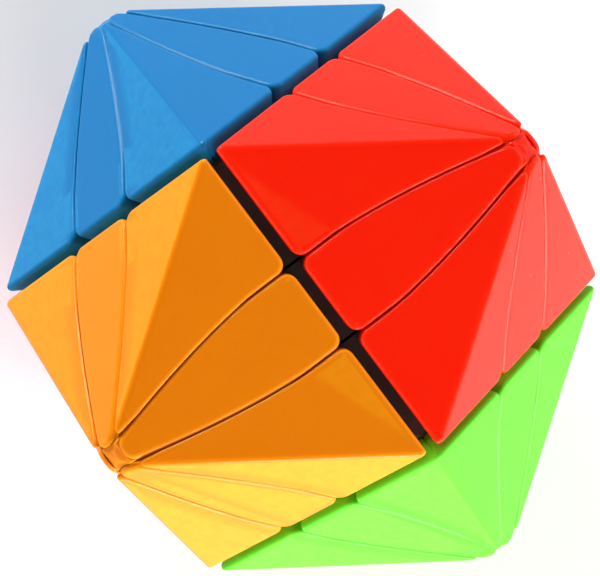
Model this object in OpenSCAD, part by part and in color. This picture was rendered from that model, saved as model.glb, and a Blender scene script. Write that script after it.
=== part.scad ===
// Turning puzzle in the shape of a rhombic dodecahedron, cut like a 3 x 3 x 3 cube.
//
// The shape is a cube with a low four-sided pyramid on each face. The tops of the pyramids are the six
// apexes, and the cube's own corners are the eight three-way vertices. Each pyramid has one colour.
//
// Everything is drawn in the puzzle's own frame, with its centre at the origin and an apex on each
// axis, and on_the_table() then stands it on one rhombic face with the blue-to-green axis along X.

/* [Body] */
// Edge of the cube whose corners are the three-way vertices
cube_edge = 40; // [33:0.5:52]
// Half thickness of a middle slice, out to the rim of the cube
slice_half = 4.9; // [4.4:0.1:5.9]
// Half thickness of a middle slice at the point of an apex
tip_half = 0.55; // [0.4:0.05:0.9]
// Gap between pieces that turn past each other
turn_gap = 0.3; // [0.2:0.05:0.5]

/* [Tiles] */
// Thickness of a coloured tile
tile_thick = 3; // [1.8:0.1:3.6]
// Width of the channel between two colours
channel_w = 1.3; // [0.8:0.1:2.4]
// Distance from the apex axis at which an edge tile ends
edge_tip_r = 1.3; // [1:0.1:1.8]
// Distance from the apex axis at which the full height of a corner tile ends
corner_tip_r = 2.7; // [2:0.1:3.4]
// Drop from the face of a corner tile to the shoulder round its tip
shoulder_drop = 0.7; // [0.4:0.1:1.2]
// Radius of the peg that locates a tile
peg_r = 1.1; // [0.8:0.1:1.4]
// Length of a peg below its tile
peg_len = 2; // [1:0.1:2.6]
// Distance along an edge tile from the middle of the channel to its peg
edge_peg_at = 8; // [6:0.5:10]
// Distance along the fold of a corner tile from the three-way vertex to its peg
corner_peg_at = 10; // [8:0.5:12]

/* [Inside] */
// How far a flange of a centre piece reaches past the slice
flange_reach = 3.2; // [2.4:0.1:3.4]
// Thickness of a flange
flange_thick = 3; // [2:0.1:3.4]
// Length over which the neck and the foot of a corner piece run into each other
neck_hold = 1.6; // [1:0.1:2]
// Thickness of the feet held under the flanges
foot_thick = 3.4; // [2.6:0.1:4]
// Gap between the feet and the ends of the core's arms
arm_room = 1.6; // [1:0.1:2]
// Radius of the ball of the core
core_r = 8; // [7:0.25:8.5]
// Radius of an arm of the core
arm_r = 3.8; // [3.2:0.1:4]

/* [Screws and springs] */
// Radius of a tension screw
screw_r = 1.5; // [1:0.1:1.6]
// Radius of a screw head
head_r = 2.6; // [2.4:0.1:2.8]
// Height of a screw head
head_h = 2; // [1.4:0.1:2.4]
// Depth of a screw in the core
screw_grip = 6; // [4:0.25:7]
// Width of the cross recess in a screw head
recess_w = 0.7; // [0.5:0.05:0.9]
// Depth of the cross recess in a screw head
recess_deep = 1.2; // [0.8:0.1:1.3]
// Radial clearance between a centre piece and its screw
run_clear = 0.06; // [0.02:0.01:0.1]
// Thickness of a washer
washer_thick = 0.6; // [0.4:0.05:1]
// Wire radius of a spring
wire_r = 0.3; // [0.2:0.05:0.4]
// Length of a spring as fitted
spring_len = 4.2; // [3.4:0.1:5]
// Thickness of the floor that carries the washer and spring
floor_thick = 3; // [2:0.1:3.6]
// Radial room round a screw head and its spring
pocket_room = 0.3; // [0.2:0.05:0.5]

/* [Centre caps] */
// Room between a screw head and the plug over it
plug_room = 1.7; // [0.5:0.1:2]
// Length of the plug under a centre cap
plug_len = 2; // [1:0.1:2.4]
// Drop from the faces of the tiles to the centre cap
cap_drop = 0.9; // [0.6:0.1:1.4]
// Radial clearance of plugs and pegs in their holes
plug_clear = 0.05; // [0.02:0.01:0.1]

/* [Hidden] */
half = cube_edge / 2;
face_dist = half * sqrt(2);
apex = cube_edge;
rim_r = face_dist + 0.5;
// what each side of a turning gap gives way by
g = turn_gap / 2;
// beyond everything, for shapes that only cut
far = apex * 1.5;
flange_half = slice_half + flange_reach;
flange_in = sqrt(3) * (flange_half + g) + neck_hold;
flange_r = flange_in + flange_thick;
// the necks run half way from the flanges to the backs of the tiles
neck_r = (flange_r + face_dist - tile_thick) / 2;
feet_in = flange_in - foot_thick;
arm_len = feet_in - arm_room;
stem_z = arm_len + turn_gap;
// the stack on each screw, from the floor of the pocket outwards
pocket_r = head_r + pocket_room;
floor_z = stem_z + floor_thick;
lift = 0.05;
washer_z = floor_z + lift;
spring_z = washer_z + washer_thick;
head_z = spring_z + spring_len;
plug_z = head_z + head_h + plug_room;
cap_seat = plug_z + plug_len;
thread_clear = 0.02;
// spare depth below a peg or a screw in its blind hole
blind_room = 0.3;
spring_turns = 5;
spring_steps = 12;
wire_sides = 6;
fine = 96;

// Colours of the faces at the two ends of X, Y and Z, the low end first
colours = [["white", "yellow"], ["pink", "red"], ["green", "blue"]];
signs = [-1, 1];
sides = [for (k = [0, 1], s = signs) [k, s]];
ends = [for (k = [0, 1, 2], s = signs) [k, s]];
corners = [for (x = signs, y = signs, z = signs) [x, y, z]];
edges = [for (k = [0, 1, 2], a = signs, b = signs) k == 0 ? [0, a, b] : k == 1 ? [a, 0, b] : [a, b, 0]];

function colour_of(k, s) = colours[k][s > 0 ? 1 : 0];
function place_name(p) =
    str(p[2] == 0 ? "" : str("_", colour_of(2, p[2])),
        p[1] == 0 ? "" : str("_", colour_of(1, p[1])),
        p[0] == 0 ? "" : str("_", colour_of(0, p[0])));
function corner_body_name(p) = str("corner_body", place_name(p));
function edge_body_name(p) = str("edge_body", place_name(p));
function centre_body_name(e) = str("centre_body_", colour_of(e[0], e[1]));
function centre_cap_name(e) = str("centre_cap_", colour_of(e[0], e[1]));
function layer_corner_tiles_name(z) = str(colour_of(2, z), "_corner_tiles");
function layer_edge_tiles_name(z) = str(colour_of(2, z), "_edge_tiles");
function side_name(e, what, z) = str(colour_of(e[0], e[1]), what, colour_of(2, z), "_layer");
function side_corner_tiles_name(e, z) = side_name(e, "_corner_tiles_", z);
function side_edge_tile_name(e, z) = side_name(e, "_edge_tile_", z);
function middle_edge_tiles_name(e) = str(colour_of(e[0], e[1]), "_edge_tiles_middle");

// Where things go

module on_the_table() {
    translate([0, 0, face_dist]) rotate(120, [1, 1, 1]) rotate([0, 0, 45]) children();
}

// Turns +Z to the given axis, and keeps X, Y and Z in their order
module to_axis(k) {
    rotate((k + 1) % 3 * 120, [1, 1, 1]) children();
}

// Reflects a shape drawn on the positive side to the side with the signs given
module to_side(p) {
    mirror([p[0] < 0 ? 1 : 0, 0, 0])
        mirror([0, p[1] < 0 ? 1 : 0, 0])
            mirror([0, 0, p[2] < 0 ? 1 : 0]) children();
}

module to_end(e) {
    to_axis(e[0]) rotate([e[1] < 0 ? 180 : 0, 0, 0]) children();
}

// Shapes that the pieces are cut from

// The whole outside shape, with every face moved in by the given amount
module rhombic_shape(inset) {
    w = 2 * (face_dist - inset);
    intersection() {
        rotate([45, 0, 0]) cube([2 * far, w, w], center = true);
        rotate([0, 45, 0]) cube([w, 2 * far, w], center = true);
        rotate([0, 0, 45]) cube([w, w, 2 * far], center = true);
    }
}

// Half thickness of the middle slice at the far radius, on the line through the rim and the apex
function far_half() = tip_half - (slice_half - tip_half) * (far - apex) / (apex - rim_r);

// The outer layer along one axis: all that turns with it outside the flanges
module outer_layer(k) {
    low = slice_half + g;
    to_axis(k) rotate_extrude($fn = fine)
        polygon([[0, low], [rim_r, low], [far, far_half() + g], [far, far], [0, far]]);
}

// The middle slice across one axis, outside the flanges
module middle_slice(k) {
    top = slice_half - g;
    point_r = rim_r + (apex - rim_r) * top / (slice_half - tip_half);
    to_axis(k) rotate_extrude($fn = fine)
        polygon([[0, -top], [rim_r, -top], [point_r, 0], [rim_r, top], [0, top]]);
}

// A ball with a smaller ball taken out
module shell(r_out, r_in) {
    difference() {
        sphere(r = r_out, $fn = fine);
        sphere(r = r_in, $fn = fine);
    }
}

// A box between two limits on each axis
module span(x, y, z) {
    translate([x[0], y[0], z[0]]) cube([x[1] - x[0], y[1] - y[0], z[1] - z[0]]);
}

// The part of the pyramid on +Z that stays clear of the channels round it
module colour_sector() {
    top = far - channel_w / sqrt(2);
    intersection() {
        translate([0, 0, channel_w / sqrt(2)]) rotate([90, 0, 0])
            linear_extrude(height = 2 * far, center = true) polygon([[0, 0], [top, top], [-top, top]]);
        translate([0, 0, channel_w / sqrt(2)]) rotate([90, 0, 90])
            linear_extrude(height = 2 * far, center = true) polygon([[0, 0], [top, top], [-top, top]]);
    }
}

// Pegs that locate the tiles, and with a larger radius and extra depth their holes

// Square to the face of an edge tile, r wide and extra deeper than the peg itself
module edge_peg(r, extra) {
    along = edge_peg_at / sqrt(2);
    deep = tile_thick + peg_len + extra;
    translate([half - along, 0, half + along]) rotate([0, 45, 0])
        translate([0, 0, -deep]) cylinder(r = r, h = deep - tile_thick / 2, $fn = 32);
}

// Square to the fold of a corner tile
module corner_peg(r, extra) {
    along = corner_peg_at / sqrt(3);
    fold_thick = tile_thick * 2 / sqrt(3);
    deep = fold_thick + peg_len + extra;
    translate([half - along, half - along, half + along]) rotate([0, atan(1 / sqrt(2)), 45])
        translate([0, 0, -deep]) cylinder(r = r, h = deep - fold_thick / 2, $fn = 32);
}

// Pieces in their first place: the corner at +X +Y +Z, the edge at +X +Z, the centre at +Z

module first_corner_body() {
    wide = flange_half + g;
    foot = slice_half + g;
    difference() {
        union() {
            intersection() {
                rhombic_shape(tile_thick);
                outer_layer(0);
                outer_layer(1);
                outer_layer(2);
                shell(far, flange_r + g);
            }
            intersection() {
                shell(neck_r, feet_in + g);
                span([wide, far], [wide, far], [wide, far]);
            }
            intersection() {
                shell(flange_in - g, feet_in + g);
                span([foot, far], [foot, far], [foot, far]);
            }
        }
        for (k = [0, 1, 2]) to_axis(k) corner_peg(peg_r + plug_clear, blind_room);
    }
}

module first_edge_body() {
    wide = flange_half + g;
    foot = slice_half + g;
    across_wide = [-flange_half + g, flange_half - g];
    across = [-slice_half + g, slice_half - g];
    difference() {
        union() {
            intersection() {
                rhombic_shape(tile_thick);
                outer_layer(0);
                middle_slice(1);
                outer_layer(2);
                shell(far, flange_r + g);
            }
            intersection() {
                shell(neck_r, feet_in + g);
                span([wide, far], across, [wide, far]);
            }
            intersection() {
                shell(flange_r - g, flange_in + g);
                span([wide, far], across_wide, [wide, far]);
            }
            intersection() {
                shell(flange_in - g, feet_in + g);
                span([foot, far], across, [foot, far]);
            }
        }
        edge_peg(peg_r + plug_clear, blind_room);
        mirror([1, 0, -1]) edge_peg(peg_r + plug_clear, blind_room);
    }
}

module first_centre_body() {
    across_wide = [-flange_half + g, flange_half - g];
    difference() {
        union() {
            intersection() {
                span([-half, half], [-half, half], [stem_z, cap_seat]);
                middle_slice(0);
                middle_slice(1);
            }
            intersection() {
                shell(flange_r - g, flange_in + g);
                span(across_wide, across_wide, [0, far]);
            }
        }
        cylinder(r = screw_r + run_clear, h = far, $fn = 48);
        translate([0, 0, floor_z]) cylinder(r = pocket_r, h = far, $fn = 48);
    }
}

module first_centre_cap() {
    top_flat = apex - cap_drop * sqrt(2) - tip_half;
    union() {
        intersection() {
            rhombic_shape(cap_drop);
            middle_slice(0);
            middle_slice(1);
            span([-far, far], [-far, far], [cap_seat, top_flat]);
        }
        translate([0, 0, plug_z])
            cylinder(r = pocket_r - plug_clear, h = plug_len + slice_half / 4, $fn = 48);
    }
}

module tile_shell() {
    difference() {
        rhombic_shape(0);
        rhombic_shape(tile_thick);
    }
}

module first_corner_tile() {
    union() {
        difference() {
            intersection() {
                tile_shell();
                outer_layer(0);
                outer_layer(1);
                colour_sector();
            }
            difference() {
                translate([0, 0, half]) cylinder(r = corner_tip_r, h = far, $fn = 48);
                rhombic_shape(shoulder_drop);
            }
        }
        corner_peg(peg_r, 0);
    }
}

// The edge tile on the pyramid on +Z, towards +X
module first_edge_tile() {
    union() {
        difference() {
            intersection() {
                tile_shell();
                outer_layer(0);
                middle_slice(1);
                colour_sector();
            }
            translate([0, 0, half]) cylinder(r = edge_tip_r, h = far, $fn = 48);
        }
        edge_peg(peg_r, 0);
    }
}

// Fastenings in their first place, on +Z

module first_screw() {
    point_z = arm_len - screw_grip;
    difference() {
        union() {
            translate([0, 0, point_z]) cylinder(r = screw_r, h = head_z + head_h / 2 - point_z, $fn = 48);
            translate([0, 0, head_z]) cylinder(r = head_r, h = head_h, $fn = 48);
        }
        for (a = [0, 90]) rotate([0, 0, a])
            translate([0, 0, head_z + head_h]) cube([head_r, recess_w, 2 * recess_deep], center = true);
    }
}

module first_washer() {
    translate([0, 0, washer_z]) difference() {
        cylinder(r = head_r, h = washer_thick, $fn = 48);
        translate([0, 0, -washer_thick])
            cylinder(r = screw_r + 2 * run_clear, h = 3 * washer_thick, $fn = 48);
    }
}

// One ring of the spring wire, at turn t from 0 to spring_turns
function wire_ring(t) =
    let (coil_r = head_r - wire_r - 2 * lift,
         rise = spring_len - 2 * wire_r - 2 * lift,
         middle_z = spring_z + lift + wire_r + rise * t / spring_turns)
    [for (i = [0 : wire_sides - 1])
        let (a = 360 * i / wire_sides, r = coil_r + wire_r * cos(a))
        [r * cos(360 * t), r * sin(360 * t), middle_z + wire_r * sin(a)]];

module first_spring() {
    rings = spring_turns * spring_steps;
    points = [for (j = [0 : rings]) each wire_ring(j / spring_steps)];
    skin = [for (j = [0 : rings - 1], i = [0 : wire_sides - 1], half_face = [0, 1])
        let (n = (i + 1) % wire_sides, low = j * wire_sides, high = low + wire_sides)
        half_face == 0 ? [low + i, high + i, high + n] : [low + i, high + n, low + n]];
    first_end = [[for (i = [0 : wire_sides - 1]) i]];
    last_end = [[for (i = [wire_sides - 1 : -1 : 0]) rings * wire_sides + i]];
    polyhedron(points = points, faces = concat(skin, first_end, last_end), convexity = 6);
}

// Nodes

module core() {
    color("dimgray") on_the_table() difference() {
        union() {
            sphere(r = core_r, $fn = fine);
            for (e = ends) to_end(e) cylinder(r = arm_r, h = arm_len, $fn = 48);
        }
        for (e = ends) to_end(e)
            translate([0, 0, arm_len - screw_grip - blind_room])
                cylinder(r = screw_r + thread_clear, h = arm_len, $fn = 48);
    }
}

module tension_screws() {
    color("silver") on_the_table() for (e = ends) to_end(e) first_screw();
}

module tension_springs() {
    color("gainsboro") on_the_table() for (e = ends) to_end(e) first_spring();
}

module washers() {
    color("lightgray") on_the_table() for (e = ends) to_end(e) first_washer();
}

module centre_body(e) {
    color("#241f20") on_the_table() to_end(e) first_centre_body();
}

module centre_cap(e) {
    color(colour_of(e[0], e[1])) on_the_table() to_end(e) first_centre_cap();
}

module edge_body(p) {
    slice = p[0] == 0 ? 0 : p[1] == 0 ? 1 : 2;
    color("#241f20") on_the_table() to_side(p) to_axis((slice + 1) % 3) first_edge_body();
}

module corner_body(p) {
    color("#241f20") on_the_table() to_side(p) first_corner_body();
}

module corner_tile(k, p) {
    color(colour_of(k, p[k])) on_the_table() to_side(p) to_axis(k) first_corner_tile();
}

// The tile of colour k on the edge piece at place p
module edge_tile(k, p) {
    towards_next = p[(k + 1) % 3] != 0;
    color(colour_of(k, p[k])) on_the_table() to_side(p) to_axis(k)
        rotate([0, 0, towards_next ? 0 : 90]) first_edge_tile();
}

module layer_corner_tiles(z) {
    for (x = signs, y = signs) corner_tile(2, [x, y, z]);
}

module layer_edge_tiles(z) {
    for (s = signs) {
        edge_tile(2, [s, 0, z]);
        edge_tile(2, [0, s, z]);
    }
}

module side_corner_tiles(e, z) {
    for (s = signs) corner_tile(e[0], e[0] == 0 ? [e[1], s, z] : [s, e[1], z]);
}

module side_edge_tile(e, z) {
    edge_tile(e[0], e[0] == 0 ? [e[1], 0, z] : [0, e[1], z]);
}

module middle_edge_tiles(e) {
    for (s = signs) edge_tile(e[0], e[0] == 0 ? [e[1], s, 0] : [s, e[1], 0]);
}

core();
tension_screws();
tension_springs();
washers();
for (e = ends) centre_body(e);
for (e = ends) centre_cap(e);
for (p = edges) edge_body(p);
for (p = corners) corner_body(p);
for (z = signs) layer_corner_tiles(z);
for (z = signs) layer_edge_tiles(z);
for (e = sides, z = signs)
    side_corner_tiles(e, z);
for (e = sides, z = signs)
    side_edge_tile(e, z);
for (e = sides) middle_edge_tiles(e);
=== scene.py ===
import math
from types import SimpleNamespace

import bmesh
import bpy
from mathutils import Matrix, Vector


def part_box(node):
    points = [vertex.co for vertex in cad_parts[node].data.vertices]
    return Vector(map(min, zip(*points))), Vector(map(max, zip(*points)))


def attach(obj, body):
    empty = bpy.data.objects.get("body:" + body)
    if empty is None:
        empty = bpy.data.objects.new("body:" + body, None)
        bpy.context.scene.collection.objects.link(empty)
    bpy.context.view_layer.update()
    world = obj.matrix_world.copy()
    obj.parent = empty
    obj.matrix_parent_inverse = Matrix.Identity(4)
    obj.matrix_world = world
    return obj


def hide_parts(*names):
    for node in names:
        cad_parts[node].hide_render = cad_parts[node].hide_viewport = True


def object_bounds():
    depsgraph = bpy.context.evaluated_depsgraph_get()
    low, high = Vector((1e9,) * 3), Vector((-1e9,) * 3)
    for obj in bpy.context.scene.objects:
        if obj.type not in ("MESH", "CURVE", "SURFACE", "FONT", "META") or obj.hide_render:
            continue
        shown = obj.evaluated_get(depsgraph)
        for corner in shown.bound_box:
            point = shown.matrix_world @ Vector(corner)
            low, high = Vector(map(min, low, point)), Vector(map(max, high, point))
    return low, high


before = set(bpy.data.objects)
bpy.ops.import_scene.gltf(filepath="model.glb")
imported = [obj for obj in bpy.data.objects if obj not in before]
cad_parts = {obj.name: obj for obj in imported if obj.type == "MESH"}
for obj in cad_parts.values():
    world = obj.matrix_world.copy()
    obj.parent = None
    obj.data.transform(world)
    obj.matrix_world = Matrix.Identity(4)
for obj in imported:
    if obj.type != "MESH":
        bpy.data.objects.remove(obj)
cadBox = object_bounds()
print("frame loaded:", len(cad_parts), "nodes")

# The puzzle's own frame has its centre at the origin and an apex on each axis
root2 = math.sqrt(2)
root3 = math.sqrt(3)
root6 = math.sqrt(6)
faceDist = (cadBox[1].z - cadBox[0].z) / 2   # from the centre to a rhombic face
halfEdge = faceDist / root2                  # half the edge of the cube inside the shape
apexDist = 2 * halfEdge

cuts = {
    "rimHalf": 0.0049,                  # half thickness of a middle slice at the rim of the cube
    "tipHalf": 0.00055,                 # and at an apex
    "rimRadius": faceDist + 0.0005,
    "gap": 0.00006,                     # what each side of a cut gives way by
    "channel": 0.0013,                  # width of the channel between two colours
}

signs = (-1, 1)
# the colours at the two ends of X, Y and Z
colours = (("white", "yellow"), ("pink", "red"), ("green", "blue"))
layerBodies = {1: "blue_layer", 0: "core_and_middle_slice", -1: "green_layer"}
sharpAngle = math.radians(40)
near = 1e-7                                  # points closer than this are the same


def colourOf(axis, sign):
    return colours[axis][sign > 0]


def cutHalf(radius):
    taper = (cuts["rimHalf"] - cuts["tipHalf"]) / (apexDist - cuts["rimRadius"])
    return cuts["rimHalf"] - taper * max(0.0, radius - cuts["rimRadius"])


# Placing: each piece is shaped at +Z, turned to its axis, reflected to its side and set on the table

diagonal = Vector((1, 1, 1))
thirdTurn = math.radians(120)                # takes each axis to the next
onTheTable = (
    Matrix.Translation((0, 0, faceDist))
    @ Matrix.Rotation(thirdTurn, 4, diagonal)
    @ Matrix.Rotation(math.radians(45), 4, "Z")
)


def toAxis(axis):
    return Matrix.Rotation(thirdTurn * ((axis + 1) % 3), 4, diagonal)


def toSide(place):
    return Matrix.Diagonal([-1 if p < 0 else 1 for p in place] + [1])


def newPiece(name, shape, placing, material):
    bm = bmesh.new()
    bm.from_mesh(shape)
    bmesh.ops.transform(bm, matrix=placing, verts=bm.verts)
    faceOutwards(bm)
    mesh = bpy.data.meshes.new(name)
    bm.to_mesh(mesh)
    bm.free()
    mesh.polygons.foreach_set("use_smooth", [True] * len(mesh.polygons))
    mesh.set_sharp_from_angle(angle=sharpAngle)
    mesh.materials.append(material)
    piece = bpy.data.objects.new(name, mesh)
    bpy.context.collection.objects.link(piece)
    return piece


def faceOutwards(bm):
    bmesh.ops.recalc_face_normals(bm, faces=bm.faces)
    if bm.calc_volume(signed=True) < 0:
        bmesh.ops.reverse_faces(bm, faces=bm.faces)


def keepShape(name, bm):
    faceOutwards(bm)
    for layer in bm.verts.layers.float_vector.values():
        bm.verts.layers.float_vector.remove(layer)
    shape = bpy.data.meshes.new(name)
    bm.to_mesh(shape)
    bm.free()
    return shape


def roundCorners(bm, corners, size, segments=10):
    bmesh.ops.bevel(bm, geom=corners, offset=size, offset_type="OFFSET", affect="VERTICES",
                    segments=segments, profile=0.5, material=-1, clamp_overlap=False)


def lift(bm, faces, height):
    # extrudes flat faces straight up and leaves nothing behind inside
    made = bmesh.ops.extrude_face_region(bm, geom=faces)["geom"]
    bmesh.ops.delete(bm, geom=faces, context="FACES_ONLY")
    verts = [v for v in made if isinstance(v, bmesh.types.BMVert)]
    bmesh.ops.translate(bm, vec=(0, 0, height), verts=verts)
    return [f for f in made if isinstance(f, bmesh.types.BMFace)]


def roundRim(bm, faces, rim, hold, segments=5):
    # steps the faces in and up along a quarter circle, then adds two narrow bands that keep them flat
    turns = [math.radians(90) * i / segments for i in range(segments + 1)]
    steps = [(math.cos(a) - math.cos(b), math.sin(b) - math.sin(a)) for a, b in zip(turns, turns[1:])]
    bm.normal_update()
    bands = [(hold, 0), (hold, 0)]
    for inward, up in [(rim * x, rim * y) for x, y in steps] + bands:
        bmesh.ops.inset_region(bm, faces=faces, thickness=inward, depth=up,
                               use_even_offset=True, use_boundary=True)


def closeBelow(bm, under):
    # draws the open edge down to where under() says and closes it
    edges = [e for e in bm.edges if e.is_boundary]
    made = bmesh.ops.extrude_edge_only(bm, edges=edges)["geom"]
    flatAt = bm.verts.layers.float_vector["flatAt"]
    for v in made:
        if isinstance(v, bmesh.types.BMVert):
            v.co = under(*v[flatAt][:2])
    bmesh.ops.holes_fill(bm, edges=[e for e in bm.edges if e.is_boundary], sides=0)


def shape(bm, placed):
    # takes every corner from the flat drawing to its place on the puzzle
    flatAt = bm.verts.layers.float_vector.new("flatAt")
    for v in bm.verts:
        v[flatAt] = v.co
        v.co = placed(*v.co)


# Edge tiles: one petal on a single face, cut by the middle slice

edgeTile = {
    "thick": 0.003,
    "thinnest": 0.00045,        # where the tip runs out over the hub
    "tipAt": 0.0017,            # from the apex axis to the tip
    "channelCorner": 0.0014,    # rounding of the outline beside the channel
    "tipCorner": 0.00105,
    "rim": 0.0005,
    "hold": 0.0001,
    "sidePoints": 14,
}


def onEdgeFace(up, across, height):
    # up the face from the middle of the cube's edge, across along that edge
    x, z = halfEdge - (up - height) / root2, halfEdge + (up + height) / root2
    before = cutHalf(math.hypot(faceDist, up)) - cuts["gap"]
    return Vector((x, across * (cutHalf(math.hypot(x, z)) - cuts["gap"]) / before, z))


def underEdgeTile(up, across):
    x, z = halfEdge - up / root2, halfEdge + up / root2
    room = x - cutHalf(math.hypot(across, z)) - cuts["gap"]
    return onEdgeFace(up, across, -max(edgeTile["thinnest"], min(edgeTile["thick"], room)))


def edgeTileShape():
    s = edgeTile
    bm = bmesh.new()
    low = cuts["channel"] / 2
    high = (halfEdge - s["tipAt"]) * root2
    steps = s["sidePoints"]
    ups = [low + (high - low) * i / steps for i in range(steps + 1)]
    side = [(up, cutHalf(math.hypot(faceDist, up)) - cuts["gap"]) for up in ups]
    outline = [(up, -across) for up, across in side] + side[::-1]
    corners = [bm.verts.new((up, across, -s["rim"])) for up, across in outline]
    bm.faces.new(corners)
    roundCorners(bm, [corners[0], corners[-1]], s["channelCorner"])
    roundCorners(bm, [corners[steps], corners[steps + 1]], s["tipCorner"])
    roundRim(bm, bm.faces[:], s["rim"], s["hold"])
    shape(bm, onEdgeFace)
    closeBelow(bm, underEdgeTile)
    return keepShape("edge_tile", bm)


# Corner tiles: drawn flat with a shoulder round the tip, then bent over the ridge of the pyramid

cornerTile = {
    "thick": 0.003,
    "step": 0.0007,             # drop from the top to the shoulder
    "belowStep": 0.0004,        # least thickness under the shoulder
    "tipAt": 0.0030,            # from the apex axis to the tip
    "tipRound": 0.0008,
    "tipTurn": 69,              # half the turn of the round tip, in degrees
    "tipPoints": 5,             # along each half of it
    "tipPasses": 20,            # to settle where the two cuts meet
    "channelCorner": 0.0014,
    "threeWayCorner": 0.0009,
    "rim": 0.0005,
    "hold": 0.0001,
    "bend": 0.0009,             # radius of the bend along the ridge
    "mitre": 1.5,               # spread of the fold on the underside, by the depth
    "sidePoints": 14,
}

bendHalf = math.radians(30)     # each side of the ridge falls away by this
ridgeStart = Vector((halfEdge, halfEdge, halfEdge))
ridgeWay = Vector((-1, -1, 1)).normalized()
ridgeSide = Vector((1, -1, 0)).normalized()
ridgeUp = Vector((1, 1, 2)).normalized()
ridgeMiddle = 1.5 * halfEdge
onRidge = 1e-9


def flattened(up, across):
    # a point of the face, as distance along the ridge and out from it
    along = (root2 * up + halfEdge - across) / root3
    return along, (2 * (halfEdge - across) - root2 * up) / root6


def keptClear(p):
    # moves a point back to the two cuts that bound a corner piece
    p.x = max(p.x, cutHalf(math.hypot(p.y, p.z)) + cuts["gap"])
    p.y = max(p.y, cutHalf(math.hypot(p.x, p.z)) + cuts["gap"])
    return p


def onCornerFaces(along, out, height):
    bend = cornerTile["bend"]
    reach = bend * math.tan(bendHalf)
    turn = bendHalf * max(-1.0, min(1.0, out / reach))
    normal = ridgeSide * math.sin(turn) + ridgeUp * math.cos(turn)
    beyond = max(0.0, abs(out) - reach) * (1 if out > 0 else -1)
    away = ridgeSide * math.cos(turn) - ridgeUp * math.sin(turn)
    bendCentre = ridgeStart + ridgeWay * along - ridgeUp * bend / math.cos(bendHalf)
    return keptClear(bendCentre + normal * (bend + height) + away * beyond)


def underCornerTile(along, out):
    normal = ridgeSide * math.sin(bendHalf) + ridgeUp * math.cos(bendHalf)
    away = ridgeSide * math.cos(bendHalf) - ridgeUp * math.sin(bendHalf)
    top = ridgeStart + ridgeWay * along + away * abs(out)
    room = top.x - cutHalf(math.hypot(top.y, top.z)) - cuts["gap"]
    depth = max(cornerTile["step"] + cornerTile["belowStep"], min(cornerTile["thick"], room))
    # the ridge goes straight in at the three-way end, and along the mitre at the tip
    inwards = diagonal / root2 if top.z < ridgeMiddle else ridgeUp / math.cos(bendHalf)
    share = min(1.0, abs(out) / (cornerTile["mitre"] * depth * math.tan(bendHalf)))
    low = keptClear(top - depth * inwards.lerp(normal, share))
    return low if out >= 0 else Vector((low.y, low.x, low.z))


def cornerTileShape():
    s = cornerTile
    bm = bmesh.new()
    low = cuts["channel"] / 2
    tip = (halfEdge - s["tipAt"] / root2) * root3
    centre = tip - s["tipRound"]
    half = s["tipPoints"]
    turns = [math.radians(s["tipTurn"]) * (1 - i / half) for i in range(2 * half + 1)]
    arc = [(centre + s["tipRound"] * math.cos(a), s["tipRound"] * math.sin(a)) for a in turns]
    high = (halfEdge - s["tipAt"]) * root2
    ups = [low + (high - low) * i / s["sidePoints"] for i in range(s["sidePoints"] + 1)]
    side = [flattened(up, cutHalf(math.hypot(faceDist, up)) + cuts["gap"]) for up in ups]
    side = [p for p in side if p[0] < arc[0][0] - s["rim"]]
    threeWay = (math.sqrt(1.5) * low, 0)
    outline = [threeWay] + side + arc + [(along, -out) for along, out in reversed(side)]
    corners = [bm.verts.new((along, out, -s["step"])) for along, out in outline]
    bm.faces.new(corners)

    # the point beyond the round tip, which only the shoulder reaches
    x = cuts["tipHalf"]
    for _ in range(s["tipPasses"]):
        x = cutHalf(math.hypot(x, apexDist - x)) + cuts["gap"]
    point = bm.verts.new(((halfEdge - x) * root3, 0, -s["step"]))
    first = 1 + len(side)
    bm.faces.new([point] + corners[first:first + len(arc)][::-1])

    roundCorners(bm, [corners[1], corners[-1]], s["channelCorner"])
    roundCorners(bm, [corners[0]], s["threeWayCorner"])
    petal = max(bm.faces, key=lambda f: f.calc_area())
    bmesh.ops.recalc_face_normals(bm, faces=bm.faces)
    if petal.normal.z < 0:
        bmesh.ops.reverse_faces(bm, faces=bm.faces)
    roundRim(bm, lift(bm, [petal], s["step"] - s["rim"]), s["rim"], s["hold"])
    reach = s["bend"] * math.tan(bendHalf)
    for out in (0, 0.5 * reach, reach, reach + s["hold"], reach + 2 * s["hold"]):
        for side in {out, -out}:
            geom = bm.verts[:] + bm.edges[:] + bm.faces[:]
            bmesh.ops.bisect_plane(bm, geom=geom, dist=near, plane_co=(0, side, 0),
                                   plane_no=(0, 1, 0))
    shape(bm, onCornerFaces)
    closeBelow(bm, underCornerTile)
    flatAt = bm.verts.layers.float_vector["flatAt"]
    bottom = max(bm.faces, key=lambda f: len(f.verts))
    bmesh.ops.connect_verts(bm, verts=[v for v in bottom.verts if abs(v[flatAt].y) < onRidge])
    return keepShape("corner_tile", bm)


# Centre caps: a square spire that rounds over into the hub, with a round plug below

capLow, capHigh = (corner.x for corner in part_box("centre_cap_blue"))

centreCap = {
    "top": capHigh,
    "plugEnd": capLow,
    "plugLength": 0.002,
    "plugRadius": 0.00285,
    "plugSides": 48,
    "uprightCorner": 0.001,     # cut off each upright edge
    "cornerSegments": 5,
    "topRound": 0.0004,         # rounding round the top
    "crown": 0.0003,            # rise of the top beyond that
    "crownRings": (0.8, 0.5, 0.2),
    "rings": 8,
    "roundRings": 6,
    "lead": 0.0003,             # lead-in at the end of the plug
}


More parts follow.
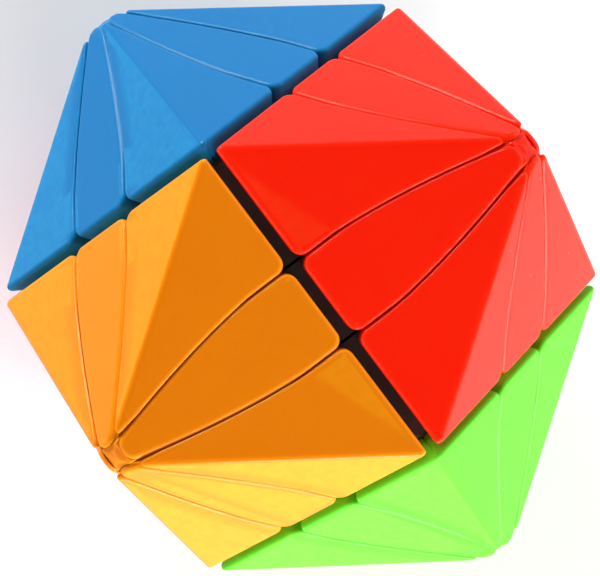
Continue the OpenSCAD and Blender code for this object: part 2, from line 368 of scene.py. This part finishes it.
def centreCapShape():
    s = centreCap
    seat = s["plugEnd"] + s["plugLength"]
    shoulder = s["top"] - s["topRound"] - s["crown"]
    bm = bmesh.new()
    half = cutHalf(seat) - cuts["gap"]
    atSeat = Matrix.Translation((0, 0, seat))
    bmesh.ops.create_grid(bm, x_segments=1, y_segments=1, size=half, matrix=atSeat)
    roundCorners(bm, bm.verts[:], s["uprightCorner"], s["cornerSegments"])
    wide = cutHalf(shoulder) - cuts["gap"]
    rings = [seat + (shoulder - seat) * i / s["rings"] for i in range(1, s["rings"] + 1)]
    rings = [(height, cutHalf(height) - cuts["gap"]) for height in rings]
    for i in range(1, s["roundRings"] + 1):
        turn = math.radians(90) * i / s["roundRings"]
        inset = s["topRound"] * (1 - math.cos(turn))
        rings.append((shoulder + s["topRound"] * math.sin(turn), wide - inset))
    flat = wide - s["topRound"]
    rings += [(s["top"] - s["crown"] * share ** 2, flat * share) for share in s["crownRings"]]
    top = bm.faces[:]
    at, size = seat, half
    for height, wide in rings:
        top = lift(bm, top, height - at)
        bmesh.ops.scale(bm, vec=(wide / size, wide / size, 1), verts=top[0].verts)
        at, size = height, wide
    middle = Matrix.Translation((0, 0, seat - s["plugLength"] / 2))
    plug = bmesh.ops.create_cone(bm, cap_ends=True, segments=s["plugSides"],
                                 radius1=s["plugRadius"], radius2=s["plugRadius"],
                                 depth=s["plugLength"], matrix=middle)["verts"]
    lid = [f for f in bm.faces if all(v in plug and abs(v.co.z - seat) < near for v in f.verts)]
    bmesh.ops.delete(bm, geom=lid, context="FACES_ONLY")
    bmesh.ops.bridge_loops(bm, edges=[e for e in bm.edges if e.is_boundary])
    end = [e for e in bm.edges if all(abs(v.co.z - s["plugEnd"]) < near for v in e.verts)]
    bmesh.ops.bevel(bm, geom=end, offset=s["lead"], offset_type="OFFSET", affect="EDGES", segments=2,
                    profile=0.5, material=-1, clamp_overlap=False)
    return keepShape("centre_cap", bm)


# Materials


def newMaterial(name):
    material = bpy.data.materials.new(name)
    material.use_nodes = True
    nodes = material.node_tree.nodes
    nodes.clear()
    links = material.node_tree.links
    output = nodes.new("ShaderNodeOutputMaterial")
    shader = nodes.new("ShaderNodeBsdfPrincipled")
    links.new(shader.outputs["BSDF"], output.inputs["Surface"])
    place = nodes.new("ShaderNodeTexCoord").outputs["Object"]

    def noise(scale, detail=2.0, stretch=None):
        texture = nodes.new("ShaderNodeTexNoise")
        texture.inputs["Scale"].default_value = scale
        texture.inputs["Detail"].default_value = detail
        source = place
        if stretch:
            mapping = nodes.new("ShaderNodeMapping")
            mapping.inputs["Rotation"].default_value = [math.radians(a) for a in stretch[0]]
            mapping.inputs["Scale"].default_value = stretch[1]
            links.new(place, mapping.inputs["Vector"])
            source = mapping.outputs["Vector"]
        links.new(source, texture.inputs["Vector"])
        return texture.outputs["Fac"]

    def ranged(value, low, high, toLow, toHigh):
        step = nodes.new("ShaderNodeMapRange")
        numbers = {"From Min": low, "From Max": high, "To Min": toLow, "To Max": toHigh}
        for key, number in numbers.items():
            step.inputs[key].default_value = number
        links.new(value, step.inputs["Value"])
        return step.outputs["Result"]

    def mixed(factor, first, second):
        mix = nodes.new("ShaderNodeMix")
        mix.data_type = "RGBA"
        links.new(factor, mix.inputs["Factor"])
        for socket, value in ((mix.inputs[6], first), (mix.inputs[7], second)):
            if isinstance(value, bpy.types.NodeSocket):
                links.new(value, socket)
            else:
                socket.default_value = (*value, 1)
        return mix.outputs[2]

    def maths(kind, first, second):
        step = nodes.new("ShaderNodeMath")
        step.operation = kind
        for socket, value in zip(step.inputs, (first, second)):
            if isinstance(value, bpy.types.NodeSocket):
                links.new(value, socket)
            else:
                socket.default_value = value
        return step.outputs["Value"]

    def bump(height, distance, strength, under=None):
        step = nodes.new("ShaderNodeBump")
        step.inputs["Distance"].default_value = distance
        step.inputs["Strength"].default_value = strength
        links.new(height, step.inputs["Height"])
        if under:
            links.new(under, step.inputs["Normal"])
        return step.outputs["Normal"]

    edge = nodes.new("ShaderNodeNewGeometry").outputs["Pointiness"]

    def link(value, key):
        links.new(value, shader.inputs[key])

    make = SimpleNamespace(noise=noise, ranged=ranged, mixed=mixed, maths=maths, bump=bump,
                           edge=edge, link=link, shader=shader)
    return material, make


gloss = {
    # scales are in features per metre
    "clouds": 55,               # soft changes to the deeper tone
    "cloudTone": 0.4,
    "speckle": 2600,
    "speckleTone": 0.06,
    # the rims get a painted highlight: a lighter tone mixed in where Pointiness rises, broken up like
    # edge wear
    "rimHighlightEdge": (0.508, 0.535),  # Pointiness where the rims start and end; flat faces have 0.5
    "rimHighlightTone": 0.30,
    "highlightWearBreakup": 900,                # breaks up the painted highlight along the rims, like edge wear
    "scuffs": ((30, (20, 35, 50), (1, 26, 9)), (26, (70, -25, 10), (22, 1, 14))),
    "scuffRoughness": 0.05,
    "peel": 420,                # the slight waviness of a moulded face
    "peelBump": (0.00006, 0.12),
    "speckleBump": (0.00001, 0.08),
    "scuffBump": (0.00001, 0.08),
    "roughness": (0.19, 0.25),
    "roughScale": 180,
    "specular": 0.06,
    "coat": 0.10,
    "coatRoughness": 0.05,
    "glow": 0.35,
    "glowDepth": 0.0005,
}

plasticColours = {
    # base, a deeper tone, and a lighter tone for the speckle and for the painted highlight along the
    # rims
    "yellow": ((0.80, 0.215, 0.0015), (0.76, 0.19, 0.001), (0.95, 0.42, 0.01)),
    "red": ((0.97, 0.014, 0.001), (0.93, 0.010, 0.0006), (1.0, 0.07, 0.010)),
    "blue": ((0.0020, 0.145, 0.38), (0.0015, 0.13, 0.35), (0.02, 0.34, 0.64)),
    "green": ((0.085, 0.58, 0.013), (0.072, 0.54, 0.009), (0.20, 0.76, 0.05)),
    "white": ((0.60, 0.60, 0.585), (0.57, 0.575, 0.565), (0.70, 0.70, 0.685)),
    "pink": ((0.80, 0.10, 0.24), (0.76, 0.08, 0.21), (0.90, 0.24, 0.38)),
}


def glossyPlastic(name, tones):
    material, make = newMaterial(name)
    base, deep, light = tones
    clouds = make.ranged(make.noise(gloss["clouds"], 2), 0.35, 0.65, 0, gloss["cloudTone"])
    colour = make.mixed(clouds, base, deep)
    speckle = make.ranged(make.noise(gloss["speckle"], 2), 0.60, 0.78, 0, gloss["speckleTone"])
    colour = make.mixed(speckle, colour, light)
    # painted highlight along the rims, partly edge wear: Pointiness mixes the colour towards the
    # lighter tone
    rim = make.ranged(make.edge, *gloss["rimHighlightEdge"], 0, gloss["rimHighlightTone"])
    highlightWearBreakup = make.ranged(make.noise(gloss["highlightWearBreakup"], 4), 0.35, 0.65, 0.55, 1)
    rimHighlightAndWear = make.maths("MULTIPLY", rim, highlightWearBreakup)
    make.link(make.mixed(rimHighlightAndWear, colour, light), "Base Color")
    scuffs, more = (make.noise(scale, 6, (turn, size)) for scale, turn, size in gloss["scuffs"])
    scuffs = make.ranged(make.maths("MAXIMUM", scuffs, more), 0.66, 0.74, 0, 1)
    rough = make.ranged(make.noise(gloss["roughScale"], 5), 0.3, 0.7, *gloss["roughness"])
    scuffed = make.maths("MULTIPLY", scuffs, gloss["scuffRoughness"])
    make.link(make.maths("ADD", rough, scuffed), "Roughness")
    peel = make.bump(make.noise(gloss["peel"], 1), *gloss["peelBump"])
    peel = make.bump(make.noise(gloss["speckle"], 3), *gloss["speckleBump"], peel)
    make.link(make.bump(scuffs, *gloss["scuffBump"], peel), "Normal")
    make.shader.inputs["Specular IOR Level"].default_value = gloss["specular"]
    make.shader.inputs["Coat Weight"].default_value = gloss["coat"]
    make.shader.inputs["Coat Roughness"].default_value = gloss["coatRoughness"]
    make.shader.inputs["Subsurface Weight"].default_value = gloss["glow"]
    make.shader.inputs["Subsurface Radius"].default_value = [0.05 + c for c in base]
    make.shader.inputs["Subsurface Scale"].default_value = gloss["glowDepth"]
    return material


black = {
    "tones": ((0.012, 0.010, 0.010), (0.024, 0.019, 0.017)),
    "clouds": 90,
    "dustTone": (0.11, 0.09, 0.075),
    "dust": 1400,
    "dustMost": 0.5,
    "roughness": (0.38, 0.6),
    "roughScale": 420,
    "grain": 2200,
    "grainBump": (0.00003, 0.5),
}


def blackPlastic():
    material, make = newMaterial("black_plastic")
    clouds = make.ranged(make.noise(black["clouds"], 4), 0.35, 0.65, 0, 1)
    colour = make.mixed(clouds, *black["tones"])
    dust = make.ranged(make.noise(black["dust"], 5), 0.62, 0.80, 0, black["dustMost"])
    make.link(make.mixed(dust, colour, black["dustTone"]), "Base Color")
    rough = make.ranged(make.noise(black["roughScale"], 4), 0.3, 0.7, *black["roughness"])
    make.link(rough, "Roughness")
    make.link(make.bump(make.noise(black["grain"], 4), *black["grainBump"]), "Normal")
    return material


metal = {
    "stretch": ((0, 0, 0), (1, 14, 14)),    # turn and scale that draw the noise out into streaks
    "darker": 0.62,
    "roughness": (0.22, 0.42),
    "roughScale": 3,                        # times the scale of the streaks
    "streakBump": (0.00002, 0.4),
}


def steel(name, tone, scale):
    material, make = newMaterial(name)
    streaks = make.noise(scale, 6, metal["stretch"])
    dark = tuple(metal["darker"] * t for t in tone)
    make.link(make.mixed(make.ranged(streaks, 0.35, 0.65, 0, 1), tone, dark), "Base Color")
    roughNoise = make.noise(scale * metal["roughScale"], 5)
    make.link(make.ranged(roughNoise, 0.3, 0.7, *metal["roughness"]), "Roughness")
    make.link(make.bump(streaks, *metal["streakBump"]), "Normal")
    make.shader.inputs["Metallic"].default_value = 1
    return material


plastics = {}
for colour, tones in plasticColours.items():
    plastics[colour] = glossyPlastic(colour + "_plastic", tones)
finishes = {
    "black_plastic": blackPlastic(),
    "steel": steel("steel", (0.62, 0.61, 0.59), 260),
    "spring_steel": steel("spring_steel", (0.46, 0.45, 0.44), 420),
}
print("materials made:", len(plastics) + len(finishes))


# Putting the pieces on the puzzle


def dress(piece, place, node):
    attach(piece, layerBodies[place[2]])
    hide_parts(node)


def otherColours(axis, place):
    return "_".join(colourOf(k, place[k]) for k in (2, 1, 0) if k != axis and place[k])


def cornerTileNode(axis, place):
    layer = "" if axis == 2 else "_%s_layer" % colourOf(2, place[2])
    return "%s_corner_tiles%s" % (colourOf(axis, place[axis]), layer)


def edgeTileNode(axis, place):
    colour = colourOf(axis, place[axis])
    if axis == 2:
        return colour + "_edge_tiles"
    if place[2] == 0:
        return colour + "_edge_tiles_middle"
    return "%s_edge_tile_%s_layer" % (colour, colourOf(2, place[2]))


cornerShape = cornerTileShape()
edgeShape = edgeTileShape()
capShape = centreCapShape()
print("shapes made:", [len(shape.polygons) for shape in (cornerShape, edgeShape, capShape)], "faces")

places = [(x, y, z) for x in (-1, 0, 1) for y in (-1, 0, 1) for z in (-1, 0, 1)]
for place in (p for p in places if all(p)):
    for axis in range(3):
        colour = colourOf(axis, place[axis])
        name = "%s_corner_tile_%s" % (colour, otherColours(axis, place))
        placing = onTheTable @ toSide(place) @ toAxis(axis)
        piece = newPiece(name, cornerShape, placing, plastics[colour])
        dress(piece, place, cornerTileNode(axis, place))
print("corner tiles placed")

for place in (p for p in places if p.count(0) == 1):
    for axis in (k for k in range(3) if place[k]):
        colour = colourOf(axis, place[axis])
        name = "%s_edge_tile_%s" % (colour, otherColours(axis, place))
        quarter = 0 if place[(axis + 1) % 3] else 1
        turn = Matrix.Rotation(math.radians(90) * quarter, 4, "Z")
        placing = onTheTable @ toSide(place) @ toAxis(axis) @ turn
        piece = newPiece(name, edgeShape, placing, plastics[colour])
        dress(piece, place, edgeTileNode(axis, place))
print("edge tiles placed")

for axis in range(3):
    for sign in signs:
        colour = colourOf(axis, sign)
        turn = Matrix.Rotation(math.radians(180 if sign < 0 else 0), 4, "X")
        placing = onTheTable @ toAxis(axis) @ turn
        piece = newPiece(colour + "_centre_hub", capShape, placing, plastics[colour])
        place = [sign if k == axis else 0 for k in range(3)]
        dress(piece, place, "centre_cap_" + colour)
print("centre caps placed")

metals = {"tension_screws": "steel", "washers": "steel", "tension_springs": "spring_steel"}
for name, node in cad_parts.items():
    if node.hide_render:
        continue
    for holder in node.material_slots:
        holder.material = finishes[metals.get(name, "black_plastic")]


# Floor, camera and light

stage = {
    "floor": 3.0,
    "floorTones": ((0.80, 0.80, 0.79), (0.77, 0.77, 0.765)),
    "world": 0.25,
    "lens": 141.2,
    "sensor": 36,
    "clipStart": 0.01,
    "cameraAt": (0.0229, 0.0068, 0.2995),
    "right": (-0.5995, -0.7973, 0.0693),
    "down": (-0.7960, 0.6031, 0.0520),
}


def paleFloor():
    bm = bmesh.new()
    bmesh.ops.create_grid(bm, x_segments=8, y_segments=8, size=stage["floor"] / 2)
    mesh = bpy.data.meshes.new("floor")
    bm.to_mesh(mesh)
    bm.free()
    material, make = newMaterial("pale_floor")
    clouds = make.ranged(make.noise(6, 3), 0.3, 0.7, 0, 1)
    make.link(make.mixed(clouds, *stage["floorTones"]), "Base Color")
    make.link(make.ranged(make.noise(60, 3), 0.3, 0.7, 0.6, 0.75), "Roughness")
    make.link(make.bump(make.noise(500, 3), 0.00005, 0.2), "Normal")
    mesh.materials.append(material)
    floor = bpy.data.objects.new("floor", mesh)
    bpy.context.collection.objects.link(floor)


softboxes = {
    # place from the middle of the puzzle, width, height and watts
    "key": ((-0.48, 0.03, 0.10), 0.60, 0.24, 7.3),
    "back": ((0.48, -0.06, 0.12), 0.34, 0.20, 3.2),
    "left_fill": ((0.05, 0.46, 0.15), 0.30, 0.18, 0.8),
    "right_fill": ((-0.05, -0.46, 0.15), 0.30, 0.18, 0.7),
}


def softbox(name, place, wide, high, watts):
    light = bpy.data.lights.new(name, "AREA")
    light.shape = "RECTANGLE"
    light.size = wide
    light.size_y = high
    light.energy = watts
    lamp = bpy.data.objects.new(name, light)
    target = Vector((0, 0, faceDist))
    lamp.location = target + Vector(place)
    lamp.rotation_euler = (-Vector(place)).to_track_quat("-Z", "Y").to_euler()
    bpy.context.collection.objects.link(lamp)


def placeCamera():
    right, down = Vector(stage["right"]).normalized(), Vector(stage["down"])
    forward = right.cross(down).normalized()
    up = -forward.cross(right)
    camera = bpy.data.objects.new("camera", bpy.data.cameras.new("camera"))
    camera.data.lens = stage["lens"]
    camera.data.sensor_width = stage["sensor"]
    camera.data.clip_start = stage["clipStart"]
    turned = Matrix((right, up, -forward)).transposed().to_4x4()
    camera.matrix_world = Matrix.Translation(stage["cameraAt"]) @ turned
    bpy.context.collection.objects.link(camera)
    bpy.context.scene.camera = camera


paleFloor()
for name, box in softboxes.items():
    softbox(name, *box)
placeCamera()
world = bpy.data.worlds.new("studio")
world.use_nodes = True
world.node_tree.nodes["Background"].inputs["Color"].default_value = (1, 1, 1, 1)
world.node_tree.nodes["Background"].inputs["Strength"].default_value = stage["world"]
bpy.context.scene.world = world
bpy.context.scene.view_settings.view_transform = "Standard"
print("stage set")
